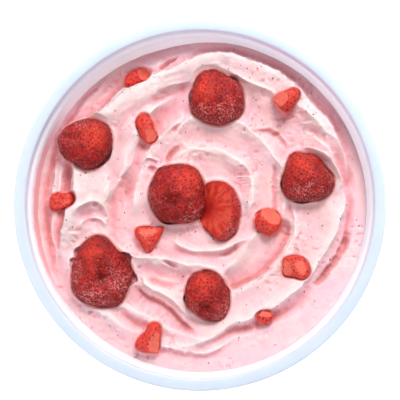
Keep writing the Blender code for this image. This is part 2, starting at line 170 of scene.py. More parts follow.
class NodeTree:
    """A tree that is built up node by node."""

    def __init__(self, tree):
        self.tree = tree

    def node(self, kind, settings=None, values=None, output=0):
        """Add a node: its settings first, then the values and links of its sockets."""
        added = self.tree.nodes.new(kind)
        for setting, choice in (settings or {}).items():
            setattr(added, setting, choice)
        for name, value in (values or {}).items():
            if isinstance(value, Value):
                self.tree.links.new(value.socket, added.inputs[name])
            else:
                added.inputs[name].default_value = value
        return Value(self, added.outputs[output])


class Finish(NodeTree):
    """One material."""

    def __init__(self, name):
        self.material = bpy.data.materials.new(name)
        self.material.use_nodes = True
        super().__init__(self.material.node_tree)
        self.tree.nodes.clear()

    def place(self, scale=(1.0, 1.0, 1.0)):
        """The point on the piece, stretched."""
        spot = self.node("ShaderNodeTexCoord", output=3)
        return self.node("ShaderNodeMapping", {}, {"Vector": spot, "Scale": scale})

    def coordinates(self):
        """X, Y and Z of the point on the piece."""
        parts = self.node("ShaderNodeSeparateXYZ", {}, {"Vector": self.place()}).socket.node
        return [Value(self, output) for output in parts.outputs]

    def noise(self, size, detail=2.0, place=None):
        """Random patches of about one size, in metres, as numbers round 0.5."""
        return self.node("ShaderNodeTexNoise", {}, {"Vector": place or self.place(),
                                                    "Scale": 1.0 / size, "Detail": detail})

    def mark(self, name):
        """The number that the piece's mesh holds under a name."""
        return self.node("ShaderNodeAttribute", {"attribute_name": name}, output=2)

    def mix(self, share, colour, other):
        """From one colour to another; each is three display numbers to 255, or a value."""
        ends = [end if isinstance(end, Value) else display_colour(*end) for end in (colour, other)]
        values = {0: share, 6: ends[0], 7: ends[1]}
        return self.node("ShaderNodeMix", {"data_type": "RGBA"}, values, output=2)

    def layers(self, colour, *coats):
        """A colour with others over it; each coat is its share and its colour."""
        for share, coat in coats:
            colour = self.mix(share, colour, coat)
        return colour

    def bump(self, height, depth):
        return self.node("ShaderNodeBump", {}, {"Height": height, "Distance": depth, "Strength": 1.0})

    def finish(self, **sockets):
        """The surface shader; a name's capitals and spaces come from its words."""
        values = {name.replace("_", " "): value for name, value in sockets.items()}
        shader = self.node("ShaderNodeBsdfPrincipled", {}, values)
        surface = self.tree.nodes.new("ShaderNodeOutputMaterial")
        self.tree.links.new(shader.socket, surface.inputs["Surface"])


def display_colour(red, green, blue):
    """A colour given as it shows on a display, from 0 to 255, as the shader wants it."""
    shares = [c / 255.0 for c in (red, green, blue)]
    return (*(s / 12.92 if s <= 0.04045 else ((s + 0.055) / 1.055) ** 2.4 for s in shares), 1.0)


def turn_section(section, sides):
    """Vertices and faces of a section turned once round the upright axis."""
    turns = np.arange(sides) * 2.0 * math.pi / sides
    points, faces, last = [], [], None
    for radius, z in section:
        start = len(points)
        if radius < TOUCH:
            ring = [start]
            points.append((0.0, 0.0, z))
        else:
            ring = list(range(start, start + sides))
            points += [(radius * math.cos(a), radius * math.sin(a), z) for a in turns]
        if last:
            for i in range(sides):
                a, b = i % len(last), (i + 1) % len(last)
                c, d = (i + 1) % len(ring), i % len(ring)
                corners = [last[a], ring[d], ring[c], last[b]]
                faces.append([v for k, v in enumerate(corners) if v not in corners[:k]])
        last = ring
    return points, faces


# The finish knows a place on the tub by its height, by the angle round from the left over the far
# side, in radians, and by whether it is on the inner side, where the film, the painted pink shade
# and the painted glow lie.
FILM_TURN = -0.05
SHADE_TURN = 2.25
plastic = Finish("tub_plastic")
across, along_y, height = plastic.coordinates()
turn = plastic.node("ShaderNodeMath", {"operation": "ARCTAN2"}, {0: along_y, 1: across * -1.0})
reach = plastic.node("ShaderNodeVectorMath", {"operation": "LENGTH"},
                     {0: plastic.place((1.0, 1.0, 0.0))}, output=1)
inside = plastic.mark("inner_side") * (1.0 - reach.smooth(54.9 * MM, 55.3 * MM))
ragged = plastic.noise(2.5 * MM, 4.0, plastic.place((1.0, 1.0, 0.35)))
left = 1.0 - (turn - FILM_TURN).size().smooth(0.3, 0.8)
film = inside * left * (1.0 - (height + ragged * 3.0 * MM).smooth(66.5 * MM, 70.5 * MM))
# Painted shade: a lilac-pink band round the far half of the inner wall, just under the rim, deepest at the
# far right, standing in for the shade there and the pink light from the ice cream.
far_right_shade = 1.0 - (turn - SHADE_TURN).size().smooth(0.2, 0.6)
tint = plastic.noise(9.0 * MM, 2.0)
seat_shade = inside * height.smooth(69.6 * MM, 70.6 * MM) * along_y.smooth(-20.0 * MM, 15.0 * MM)
# Painted light: the inner wall is painted lighter than the outside, standing in for the light that fills
# the tub.
shell = plastic.layers(
    (206, 221, 246), (tint.smooth(0.3, 0.7), (211, 224, 247)), (inside * 0.8, (243, 240, 252)),
    (seat_shade * (far_right_shade * 0.75 + 0.15), (216, 166, 184)), (film * 0.9, (240, 158, 156)))
# Painted light: a faint bluish glow on the inner wall, away from the film, standing in for light through
# the plastic.
painted_glow = plastic.mix(inside * (1.0 - film), (0, 0, 0), (150, 178, 190))
plastic.finish(Base_Color=shell, Roughness=0.38 + film * 0.15, Specular_IOR_Level=0.4,
               Subsurface_Weight=0.7, Subsurface_Scale=0.005, Subsurface_Radius=(1.0, 1.0, 1.1),
               Emission_Color=painted_glow, Emission_Strength=0.1,
               Normal=plastic.bump(plastic.noise(0.5 * MM, 3.0), 0.02 * MM))
section = tub_section()
points, faces = turn_section(section, TUB_SIDES)
rim_start = next(i for i, (radius, z) in enumerate(section) if z > TUB_HEIGHT - TOUCH)
inner_count = 1 + (rim_start - 1) * TUB_SIDES
inner_side = [1.0] * inner_count + [0.0] * (len(points) - inner_count)
tub = make_piece("tub_shell", points, faces, plastic.material, {"inner_side": inner_side})
tub.data.set_sharp_from_angle(angle=math.radians(SHARP_ANGLE))
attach(tub, "root")
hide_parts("tub")

# Ice cream. Strawberry ice cream filled by machine and swirled with a spoon, so its top is a set
# of curved strokes: a crest or a groove each, steep on one side and gentle on the other. The
# frozen surface is creamy on the crests, streaked along the strokes and crumbly where it tore.
# Its colour holds painted light and shade: hollows are painted a deeper, browner pink, crests
# paler, and a red cast is painted beside each fruit as the light the fruit reflects.
FILL_DEPTH = 10.0 * MM
LEVEL = TUB_HEIGHT - FILL_DEPTH
INTO_WALL = 0.3 * MM
FLOOR_CORNER_Z = 6.5 * MM
BOTTOM_INSET = 3.0 * MM
GRID = 300
CREST_PULL = 0.45
PULL_ENDS = 53.0
SMALLEST_CELL = 1e-4
TINY = 1e-6
FRUIT_RED_LIGHT_REACH = 1.1
FINE_HOLLOW = 0.5
WIDE_HOLLOW = 2.2
NARROWEST = 1.3
RELIEF = 1.15
SAG = 1.8
CRISP = 0.9
STREAKS = 0.09
SWIRL_MIDDLE = (-0.4, 0.7)

# A spoon stroke, in mm and degrees: the angles it runs between, counted from +X, evenly spaced
# radii of its crest, its height (less than 0 for a groove), its width towards the centre and
# away from it, the share of its length over which each end fades, the centre it turns round, and
# how far its gentle side sags (1 for a crest that ends in a fine edge).
Stroke = namedtuple("Stroke", "start end radii height inside outside fade centre bow",
                    defaults=(0.2, (0, 0), 0))

STROKES = {
    "outer ridge": Stroke(5, 205, (47.6, 48.8, 49.1, 48.6, 48.8, 49.0, 49.4, 49.2, 47.7, 44.9, 44.5,
                          44.4, 43.2, 45.3, 46.9, 43.0, 40.8, 43.2, 46.5, 51.4), 3.8, 15.0, 2.0,
                          0.1),
    "left wall ring": Stroke(76, 218, (54.1, 52.0, 51.0, 51.0, 51.0, 53.6), -3.4, 5.5, 6.0),
    "left groove": Stroke(159, 200, (45.5, 43.8, 43.0, 43.4, 44.6, 46.6, 49.3), -2.6, 1.0, 3.0, 0.25),
    "left wall line": Stroke(150, 210, (49.0, 48.1, 48.0, 48.8, 51.2), 1.0, 1.4, 1.8, 0.25),
    "second wall groove": Stroke(120, 210, (51.6, 51.0, 50.6, 50.8, 52.6), -0.8, 1.2, 1.4, 0.25),
    "top left groove": Stroke(106, 150, (46.4, 46.3, 46.8, 45.6, 45.9, 49.3), -4.2, 1.4, 5.0, 0.25),
    "top slit": Stroke(97, 108, (48.2, 47.3, 46.5, 45.3), -1.8, 0.5, 0.6, 0.3),
    "second trough": Stroke(86, 188, (34.0, 32.5, 29.0, 26.0, 24.6, 23.2, 23.6, 24.6), -1.8, 5.0, 4.0),
    "top pocket": Stroke(88, 120, (37.5, 36.3, 35.3), -2.0, 4.0, 2.2, 0.35),
    "shoulder groove": Stroke(100, 145, (37.4, 36.5, 36.0, 35.9, 35.1, 31.8), -0.7, 2.5, 3.0, 0.25),
    "left flap": Stroke(98, 190, (36.2, 34.6, 31.6, 28.2, 25.6, 25.3, 26.9, 29.2, 32.5), 2.6, 4.5,
                        12.0, bow=0.3),
    "left face": Stroke(150, 215, (30.6, 27.5, 26.9, 28.2, 29.6), -1.8, 8.0, 3.0, 0.3),
    "second ridge": Stroke(6, 196, (29.6, 28.6, 28.3, 28.8, 28.3, 26.6, 24.6, 22.6, 21.3, 21.3,
                           22.2), 2.6, 7.0, 5.0, 0.1, bow=1),
    "inner ridge": Stroke(-20, 128, (15.5, 18.0, 19.0, 18.6, 18.0, 17.4, 15.9), 1.8, 5.0, 3.5, 0.14),
    "slit by the middle": Stroke(106, 134, (19.4, 18.0, 16.7), -1.6, 1.1, 0.8, 0.3),
    "right fold": Stroke(29, 56, (33.3, 33.3, 32.0, 28.6), -1.3, 1.2, 0.8, 0.25),
    "upper right crest": Stroke(14, 88, (45.0, 45.9, 45.6, 43.0, 42.0, 42.6, 43.5), 1.8, 7.5, 3.0,
                                0.25, bow=1),
    "top crease": Stroke(95, 112, (27.7, 25.9, 23.9), -1.1, 0.8, 1.1, 0.3),
    "right wall trough": Stroke(2, 36, (48.8, 48.4, 47.9, 47.0, 45.6, 43.4, 40.5), -1.6, 1.6, 2.6),
    "right flap": Stroke(3, 32, (44.5, 47.0, 46.3, 45.0, 42.6, 39.5, 35.5), 2.2, 4.0, 1.2),
    "arm": Stroke(188, 294, (36.3, 31.8, 25.1, 20.8, 19.9, 20.4, 22.2), 2.2, 4.5, 6.0, 0.14, bow=1),
    "inner ring": Stroke(228, 334, (14.3, 15.5, 16.3, 17.5, 20.0), 1.8, 3.4, 2.0),
    "lower left face": Stroke(196, 262, (26.5, 22.4, 18.8, 17.6), -0.8, 4.0, 3.0, 0.3),
    "inner crack": Stroke(290, 316, (18.3, 18.5, 18.8), -1.3, 0.9, 0.9, 0.3),
    "lower right ridge": Stroke(282, 350, (23.5, 21.6, 20.6, 20.0, 20.0), 1.2, 3.0, 4.0),
    "lower right trough": Stroke(284, 350, (28.8, 29.2, 29.5, 29.6, 29.5, 29.0), -2.8, 7.5, 1.1,
                                 0.16, bow=1),
    "trough edge": Stroke(284, 363, (30.4, 30.4, 30.6, 31.0, 31.6, 31.7, 30.8, 28.8), 1.2, 1.2, 5.0,
                          0.14),
    "right ridge": Stroke(258, 368, (47.3, 43.9, 40.9, 41.5, 42.6, 43.6, 45.8, 47.5), 2.8, 10.0, 3.0,
                          0.14),
    "right slit": Stroke(323, 349, (45.2, 45.9, 46.7, 47.5, 48.3, 48.2), -2.6, 0.6, 1.3, 0.2),
    "right slit tail": Stroke(270, 324, (47.4, 44.1, 42.7, 43.1, 43.7, 44.3, 45.3, 45.4), -1.5, 2.4,
                              2.6, 0.25),
    "far right trough": Stroke(-22, 10, (47.5, 48.3, 48.1, 46.9), -1.2, 0.9, 2.2, 0.3),
    "lower crest": Stroke(240, 286, (43.9, 46.5, 47.9, 48.1, 45.3), 1.6, 5.0, 1.4, 0.25),
    "bottom slit": Stroke(234, 253, (21.8, 22.0, 22.2), -1.5, 1.4, 1.0, 0.3),
    "bottom notch": Stroke(234, 256, (29.0, 28.4, 27.7), -1.3, 1.8, 1.2, 0.3),
    "bottom bowl": Stroke(226, 286, (27.1, 25.5, 24.9, 25.9), -1.4, 4.0, 4.0, 0.3),
    "bottom ridge": Stroke(228, 267, (32.0, 31.8, 32.0, 33.6, 36.0), 1.6, 4.5, 1.4, 0.25),
    "bottom trough": Stroke(231, 270, (34.7, 34.5, 34.8, 36.0, 38.9, 41.8), -2.4, 1.3, 5.5),
    "outer bottom ridge": Stroke(230, 278, (39.6, 39.6, 40.2, 42.0, 44.5), 1.6, 2.6, 3.6, 0.25),
    "outer bottom trough": Stroke(228, 253, (43.2, 44.1, 43.2), -1.9, 2.4, 2.4, 0.35),
    "left lobe": Stroke(-20, 178, (4.9, 4.9, 4.5, 4.7), 1.5, 2.0, 3.0, 0.2, (-34.7, -4.5)),
    "left hollow": Stroke(-180, 180, (0.0, 0.0), -1.2, 1.0, 3.4, 0.0, (-35.7, -4.7)),
    "second left lobe": Stroke(10, 176, (4.2, 4.1, 4.5), 1.3, 1.6, 2.0, 0.2, (-33.7, -9.2)),
    "small curl": Stroke(20, 190, (2.2, 2.2), 1.0, 0.9, 1.1, 0.2, (-15.2, 12.5)),
    "curl hollow": Stroke(-180, 180, (0.0, 0.0), -2.0, 1.0, 1.5, 0.0, (-14.6, 11.0)),
    "crumbly hollow": Stroke(-180, 180, (0.0, 0.0), -1.5, 1.0, 6.2, 0.0, (13.5, 7.1)),
    "lower left bank": Stroke(196, 250, (44.9, 46.3, 46.9, 44.9), 2.2, 10.0, 5.0, 0.3),
    "chunks by the crack": Stroke(-14, 34, (27.1, 27.3, 28.8), 1.2, 1.6, 2.4, 0.25),
    "crumbly crack": Stroke(-12, 30, (24.9, 24.9, 26.3), -1.1, 1.0, 0.9, 0.2),
}


def smooth(t):
    """Ease from 0 to 1, level at both ends."""
    t = np.clip(t, 0.0, 1.0)
    return t * t * (3.0 - 2.0 * t)


def along(values, t):
    """The smooth curve through evenly spaced values, read where t goes from 0 to 1."""
    values = np.asarray(values, dtype=float)
    last = len(values) - 1
    place = np.clip(t, 0.0, 1.0) * last
    i = np.minimum(place.astype(int), last - 1)
    f = place - i
    before, here, there, after = (values[np.clip(i + k, 0, last)] for k in (-1, 0, 1, 2))
    return 0.5 * (2 * here + (there - before) * f
                  + (2 * before - 5 * here + 4 * there - after) * f ** 2
                  + (3 * here - before - 3 * there + after) * f ** 3)


RANDOM_SIDE = 128
random_table = np.random.default_rng(7).uniform(-1.0, 1.0, (RANDOM_SIDE, RANDOM_SIDE))


def rough(x, y, seed=0):
    """Smooth random numbers from -1 to 1 over a plane, one to each unit."""
    x, y = x + 17.3 * seed, y + 31.7 * seed
    i, j = np.floor(x).astype(int), np.floor(y).astype(int)
    fx, fy = smooth(x - i), smooth(y - j)
    i, j, i2, j2 = i % RANDOM_SIDE, j % RANDOM_SIDE, (i + 1) % RANDOM_SIDE, (j + 1) % RANDOM_SIDE
    low = random_table[i, j] * (1 - fx) + random_table[i2, j] * fx
    high = random_table[i, j2] * (1 - fx) + random_table[i2, j2] * fx
    return low * (1 - fy) + high * fy


def rough_3d(points, seed=0):
    """Smooth random numbers from -1 to 1 in space, one to each unit."""
    points = points + 19.7 * seed
    low = np.floor(points).astype(int)
    share = smooth(points - low)
    total = np.zeros(len(points))
    for corner in np.ndindex(2, 2, 2):
        i, j, k = ((low + corner) % RANDOM_SIDE).T
        weight = np.prod(np.where(corner, share, 1.0 - share), axis=1)
        total += weight * random_table[i, (j + 37 * k) % RANDOM_SIDE]
    return total


def swirl_height(x, y, narrowest=0.0, crisp=0.0, streaks=0.0):
    """Height of the swirled surface over its mean level, in mm, at x and y in mm."""
    height = np.zeros_like(x)
    for number, stroke in enumerate(STROKES.values()):
        dx = x - SWIRL_MIDDLE[0] - stroke.centre[0]
        dy = y - SWIRL_MIDDLE[1] - stroke.centre[1]
        t = ((np.degrees(np.arctan2(dy, dx)) - stroke.start) % 360.0) / (stroke.end - stroke.start)
        offset = np.hypot(dx, dy) - along(stroke.radii, t)
        width = np.maximum(np.where(offset < 0.0, stroke.inside, stroke.outside), narrowest)
        far = np.clip(np.abs(offset) / width, 0.0, 1.0)
        share = 1.0 - smooth(far)
        gentle = (offset < 0.0) == (stroke.inside > stroke.outside)
        share += stroke.bow * gentle * ((1.0 - far) ** SAG - share)
        if crisp and stroke.height > 0.0:
            share += crisp * ~gentle * ((1.0 - far) ** 2.4 - share)
        if stroke.fade:
            share = share * smooth(t / stroke.fade) * smooth((1.0 - t) / stroke.fade)
        height += RELIEF * stroke.height * share
        if streaks:
            grain = rough(offset / 0.8, t * (stroke.end - stroke.start) / 14.0, number)
            grain += 0.6 * rough(offset / 0.42, t * (stroke.end - stroke.start) / 9.0, number + 50)
            height += RELIEF * streaks * share * grain
    return height


# A torn or crumbly patch of the surface, in mm: its middle, its reach and how rough it is.
Crumbs = namedtuple("Crumbs", "x y reach depth")
CRUMBS = [Crumbs(13.5, 7.1, 8.0, 0.5), Crumbs(24.5, 4.0, 3.5, 0.6), Crumbs(25.0, -2.5, 4.0, 0.4),
          Crumbs(22.5, -12.0, 4.5, 0.35), Crumbs(31.5, -1.5, 4.0, 0.4), Crumbs(-35.0, -33.5, 6.5, 0.6),
          Crumbs(-44.0, -13.0, 5.0, 0.35), Crumbs(-4.0, -8.5, 4.5, 0.4), Crumbs(-23.0, 12.0, 3.5, 0.3)]

# The hand's wobble: how far it shifts the strokes, over what length, and a random seed each way.
WOBBLES = ((0.55, 5.0, 1, 3), (0.2, 1.5, 2, 4), (0.1, 0.6, 21, 22))

# The share of the swirl's height under a fruit that lifts it, for berries and dice, and the
# highest that a top may stand over the ice cream's level, in mm.
NESTLE = 0.5
DICE_NESTLE = 0.9
HIGHEST = 9.0

# A piece of fruit, in mm and degrees: its middle, seen from above, and how far that is above the
# ice cream; evenly spaced radii of its outline, counted from +X; its height over and under the
# middle; its dents (direction, rise, width, depth) and its flat cuts (direction, rise, distance).
Fruit = namedtuple("Fruit", "x y lift outline top bottom dents cuts", defaults=((), ()))

BERRIES = {
    "strawberry_left": Fruit(-36.4, 19.3, 0.6, (8.4, 8.9, 8.5, 7.9, 7.9, 8.8, 9.1, 8.4, 7.6, 8.6,
                             8.6, 8.3), 7.0, 6.5, dents=((160, 50, 22, 0.7),)),
    "strawberry_top": Fruit(5.7, 33.6, 1.6, (8.9, 8.7, 8.0, 8.8, 9.6, 8.6, 8.6, 9.0, 8.5, 8.7, 9.0,
                            9.5), 7.2, 6.5),
    "strawberry_middle": Fruit(-6.8, 2.7, 2.2, (8.8, 9.5, 10.2, 9.6, 10.1, 9.4, 9.4, 9.5, 10.0, 9.3,
                               10.1, 10.0), 7.0, 6.5, dents=((250, 62, 30, 1.0),)),
    "strawberry_half": Fruit(6.7, -2.5, 1.0, (6.6, 6.9, 8.3, 9.4, 9.5, 7.0, 6.6, 7.3, 7.7, 9.7, 9.0,
                             7.2), 5.6, 5.5, cuts=((172, 62, 2.2),)),
    "strawberry_right": Fruit(34.5, 7.6, 1.6, (8.8, 7.3, 7.7, 8.2, 9.3, 7.6, 7.9, 8.6, 8.2, 7.3, 7.8,
                              9.0), 6.6, 6.0),
    "strawberry_lower_left": Fruit(-31.5, -22.6, 1.4, (10.4, 9.8, 9.6, 12.3, 11.3, 9.6, 9.4, 10.5,
                                   10.8, 11.0, 11.5, 10.3), 6.2, 6.5, dents=((310, 66, 34, 1.5), (95,
                                   30, 20, 0.5))),
    "strawberry_bottom": Fruit(2.8, -29.8, 1.4, (7.0, 6.9, 7.5, 8.0, 8.3, 7.7, 7.2, 7.3, 7.0, 7.7,
                               8.6, 7.8), 6.4, 6.0, dents=((265, 50, 26, 0.9),)),
}

DICES = {
    "dice_top_left": Fruit(-20.6, 41.7, 0.6, (4.0, 3.7, 2.6, 2.6, 3.3, 4.6, 2.4, 2.4), 2.6, 2.6,
                           cuts=((20, 45, 2.2),)),
    "dice_upper": Fruit(-16.8, 23.6, 0.8, (2.6, 2.9, 3.8, 5.2, 4.2, 2.7, 2.7, 3.5, 4.7, 4.2), 2.8,
                        2.4, cuts=((330, 60, 2.4),)),
    "dice_left": Fruit(-44.8, 0.8, 1.2, (4.1, 4.2, 2.6, 2.8, 3.5, 3.6, 4.2, 3.3, 2.6, 2.8), 2.4, 2.4,
                       cuts=((300, 70, 2.2),)),
    "dice_middle": Fruit(-16.2, -10.8, 0.8, (3.8, 5.3, 3.5, 3.3, 3.8, 4.8, 3.9, 3.4, 4.0, 5.0, 3.4,
                         3.1), 2.4, 2.2, cuts=((90, 80, 2.2),)),
    "dice_upper_right": Fruit(28.3, 32.8, 0.8, (3.6, 4.7, 4.3, 3.1, 2.9, 3.6, 4.3, 3.5, 3.9, 4.1,
                              3.2, 3.0), 2.8, 2.4, cuts=((160, 50, 2.1),)),
    "dice_right": Fruit(22.2, -6.1, 1.2, (4.2, 4.4, 4.4, 4.2, 4.4, 4.4, 4.4, 4.3, 4.2, 4.4, 4.3,
                        4.2), 3.4, 2.6, cuts=((55, 52, 2.6),)),
    "dice_lower_right": Fruit(30.9, -20.7, 0.8, (4.3, 4.0, 3.9, 3.9, 4.1, 4.6, 4.2, 4.7, 3.6, 3.4,
                              4.4, 4.9), 2.4, 2.2, cuts=((195, 55, 2.6), (10, 80, 2.2))),
    "dice_small": Fruit(21.2, -36.7, 0.6, (2.7, 2.4, 1.9, 2.3, 2.8, 2.5, 2.1, 2.1), 2.0, 1.8,
                        cuts=((90, 50, 1.5),)),
    "dice_bottom": Fruit(-15.5, -43.6, 0.8, (3.2, 4.1, 5.7, 5.0, 3.0, 3.0, 4.0, 5.4, 4.7, 4.3, 4.8,
                         3.7), 2.6, 2.2, cuts=((330, 62, 2.3),)),
}


def fruit_middle(fruit):
    """Where the fruit's middle is, in mm."""
    x, y = fruit.x + SWIRL_MIDDLE[0], fruit.y + SWIRL_MIDDLE[1]
    local = float(swirl_height(np.array([x]), np.array([y]), NARROWEST)[0])
    nestle = DICE_NESTLE if fruit in DICES.values() else NESTLE
    return np.array([x, y, min(fruit.lift + nestle * local, HIGHEST - fruit.top) + LEVEL / MM])


def outline_reach(fruit, turn):
    """How far the fruit's outline is from its middle at an angle in degrees, in mm."""
    count = len(fruit.outline)
    closed = fruit.outline[-2:] + fruit.outline + fruit.outline[:2]
    return along(closed, ((turn % 360.0) / 360.0 * count + 2.0) / (count + 3.0))


# How the cream meets a berry, in mm, and less of each round a small piece: how far over the
# fruit's middle, and over what distance it comes down to that; how far the lip beside the fruit
# reaches, and how far lower it is; how deep the surface drops under the fruit, how far in from the
# outline, and over what distance.
MEET_HEIGHT = 0.8
MEET_REACH = 1.9
LIP_REACH = 2.4
LIP_UNDER = 0.35
DROP_DEPTH = 2.2
DROP_START = 1.2
DROP_REACH = 0.8

# Where the cream has come away from a fruit, in degrees and mm: from which side, how far round to
# each side of it, and how wide the gap is.
GAPS = {
    "strawberry_left": ((325, 45, 0.9),),
    "strawberry_top": ((48, 16, 1.3), (172, 22, 0.9)),
    "strawberry_middle": ((130, 22, 0.8), (250, 30, 0.8)),
    "strawberry_right": ((262, 34, 0.9), (195, 16, 0.7)),
    "strawberry_lower_left": ((32, 16, 1.9), (350, 16, 1.9), (140, 16, 1.7), (158, 14, 1.9)),
    "strawberry_bottom": ((15, 15, 1.1), (188, 14, 1.0)),
    "dice_right": ((150, 30, 0.8),),
    "dice_top_left": ((190, 30, 0.7),),
}


def beyond_outline(x, y, fruit):
    """How far points are outside the fruit's outline, in mm, and their angle round its middle."""
    middle = fruit_middle(fruit)
    dx, dy = x - middle[0], y - middle[1]
    turn = np.degrees(np.arctan2(dy, dx))
    return np.hypot(dx, dy) - outline_reach(fruit, turn), turn


def press_fruit(x, y, height):
    """Lower the surface under each fruit, raise a lip to its side and open the gaps round it."""
    for number, (name, fruit) in enumerate([*BERRIES.items(), *DICES.items()]):
        beyond, turn = beyond_outline(x, y, fruit)
        size = min(1.0, max(fruit.outline) / 9.0)
        meets = fruit_middle(fruit)[2] - LEVEL / MM + MEET_HEIGHT * size
        close = 1.0 - smooth((beyond - 0.1) / (MEET_REACH * size))
        height = height - np.maximum(height - meets, 0.0) * close
        lip = np.clip(0.75 + 0.5 * rough(turn / 25.0, turn * 0.0, 60 + number), 0.0, 1.0)
        missing = np.maximum(meets - LIP_UNDER * size - height, 0.0)
        height = height + missing * lip * (1.0 - smooth(beyond / (LIP_REACH * size)))
        gap = 0.25 * np.maximum(rough(turn / 20.0, turn * 0.0, 80 + number), 0.0)
        for side, reach, width in GAPS.get(name, ()):
            away = np.abs((turn - side + 180.0) % 360.0 - 180.0)
            gap = np.maximum(gap, width * (1.0 - smooth(away / reach)))
        drop = 1.0 - smooth((beyond + DROP_START * size - gap) / (DROP_REACH * size))
        height = height - DROP_DEPTH * size * drop
    return height


def fruit_red_light_share(x, y):
    """How strongly the red light that the fruit reflects is painted on the cream: 1 at a fruit's outline, 0
    a little beyond it.
    """
    share = np.zeros_like(x)
    for fruit in [*BERRIES.values(), *DICES.values()]:
        beyond = beyond_outline(x, y, fruit)[0]
        share = np.maximum(share, 1.0 - smooth((beyond - 0.1) / FRUIT_RED_LIGHT_REACH))
    return share


def surface_height(x, y):
    """The finished surface: the swirl, a hand's wobble, streaks along the strokes, and crumbs."""
    wx, wy = x, y
    for shift, length, seed_x, seed_y in WOBBLES:
        wx = wx + shift * rough(x / length, y / length, seed_x)
        wy = wy + shift * rough(x / length, y / length, seed_y)
    height = swirl_height(wx, wy, crisp=CRISP, streaks=STREAKS)
    height += 0.25 * rough(x / 3.1, y / 3.1, 5) + 0.07 * rough(x / 1.1, y / 1.1, 6)
    out = np.hypot(wx, wy)
    arc = np.arctan2(wy, wx) * out
    dragged = smooth(0.5 + 1.4 * rough(x / 8.0, y / 8.0, 23))
    drag = 0.10 * rough(out / 0.9, arc / 7.0, 24) + 0.06 * rough(out / 0.45, arc / 4.0, 25)
    height += dragged * drag
    torn = smooth(0.2 + 1.6 * rough(x / 7.0, y / 7.0, 26))
    height -= torn * 1.1 * np.maximum(rough(x / 1.2 + 0.4 * rough(x, y, 28), y / 1.2, 27) - 0.42, 0.0)
    height += torn * 0.5 * np.maximum(rough(x / 0.9, y / 0.9, 29) - 0.35, 0.0)
    for patch in CRUMBS:
        share = 1.0 - smooth(np.hypot(x - patch.x, y - patch.y) / patch.reach)
        lumps = np.abs(rough(x / 0.9, y / 0.9, 7)) + 0.6 * np.abs(rough(x / 0.5, y / 0.5, 8)) - 0.5
        height += patch.depth * share * lumps
    return press_fruit(x, y, height)


def disc_grid(steps):
    """A square grid of points over a round disc of radius 1, close to evenly spaced."""
    line = np.linspace(-1.0, 1.0, steps + 1)
    a, b = np.meshgrid(line, line, indexing="ij")
    wide = np.abs(a) > np.abs(b)
    with np.errstate(divide="ignore", invalid="ignore"):
        turn = np.where(wide, math.pi / 4 * b / a, math.pi / 2 - math.pi / 4 * a / b)
    turn = np.nan_to_num(turn)
    reach = np.where(wide, a, b)
    return reach * np.cos(turn), reach * np.sin(turn)


def blur(field, reach):
    """The mean of a field over a square of cells round each point."""
    size = 2 * reach + 1
    for _ in range(2):
        padded = np.pad(field, ((reach + 1, reach), (0, 0)), mode="edge")
        total = np.cumsum(padded, axis=0)
        field = ((total[size:] - total[:-size]) / size).T
    return field


def pull_to_crests(x, y, height):
    """A step uphill, longer where it is steep, which sharpens the crests and undercuts them."""
    xi, xj = np.gradient(x)
    yi, yj = np.gradient(y)
    hi, hj = np.gradient(height)
    area = xi * yj - xj * yi
    area = np.where(np.abs(area) < SMALLEST_CELL, SMALLEST_CELL, area)
    up_x, up_y = (hi * yj - hj * yi) / area, (hj * xi - hi * xj) / area
    steep = np.hypot(up_x, up_y)
    step = CREST_PULL * smooth((steep - 0.4) / 1.2) * smooth((PULL_ENDS - np.hypot(x, y)) / 3.0)
    return up_x / (steep + TINY) * step, up_y / (steep + TINY) * step


unit_x, unit_y = disc_grid(GRID)
edge = tub_inner_radius(LEVEL) + INTO_WALL
x, y = unit_x * edge, unit_y * edge
rise = surface_height(x / MM, y / MM)
z = LEVEL + rise * MM
dx, dy = pull_to_crests(x / MM, y / MM, blur(rise, 1))
x, y = x + dx * MM, y + dy * MM
spread = 1.0 + ((tub_inner_radius(z) + INTO_WALL) / edge - 1.0) * np.hypot(unit_x, unit_y) ** 8
x, y = x * spread, y * spread
fine_hollow = np.clip((blur(rise, 3) - rise) / FINE_HOLLOW, -1.0, 1.0)
wide_hollow = np.clip((blur(blur(rise, 9), 9) - rise) / WIDE_HOLLOW, -1.0, 1.0)
side = GRID + 1
index = np.arange(side * side).reshape(side, side)
points = np.stack([x, y, z], axis=-1).reshape(-1, 3).tolist()
faces = np.stack([index[:-1, :-1], index[1:, :-1], index[1:, 1:], index[:-1, 1:]], axis=-1)
faces = faces.reshape(-1, 4).tolist()
loop = np.concatenate([index[:-1, 0], index[-1, :-1], index[:0:-1, -1], index[0, :0:-1]]).tolist()
marks = {"fine_hollow": fine_hollow.ravel().tolist(), "wide_hollow": wide_hollow.ravel().tolist(),
         "fruit_red_light": fruit_red_light_share(x / MM, y / MM).ravel().tolist()}
last = loop
for low_z, pull in ((FLOOR_CORNER_Z, INTO_WALL), (FLOOR_HEIGHT - INTO_WALL, -BOTTOM_INSET)):
    ring = list(range(len(points), len(points) + len(loop)))
    for vertex in loop:
        px, py = points[vertex][:2]
        scale = (tub_inner_radius(low_z) + pull) / math.hypot(px, py)
        points.append((px * scale, py * scale, low_z))
    faces += [[last[i], ring[i], ring[i - 1], last[i - 1]] for i in range(len(loop))]
    last = ring
points.append((0.0, 0.0, FLOOR_HEIGHT - INTO_WALL))
faces += [[last[i], len(points) - 1, last[i - 1]] for i in range(len(loop))]
for values in marks.values():
    values += [0.0] * (len(points) - len(values))

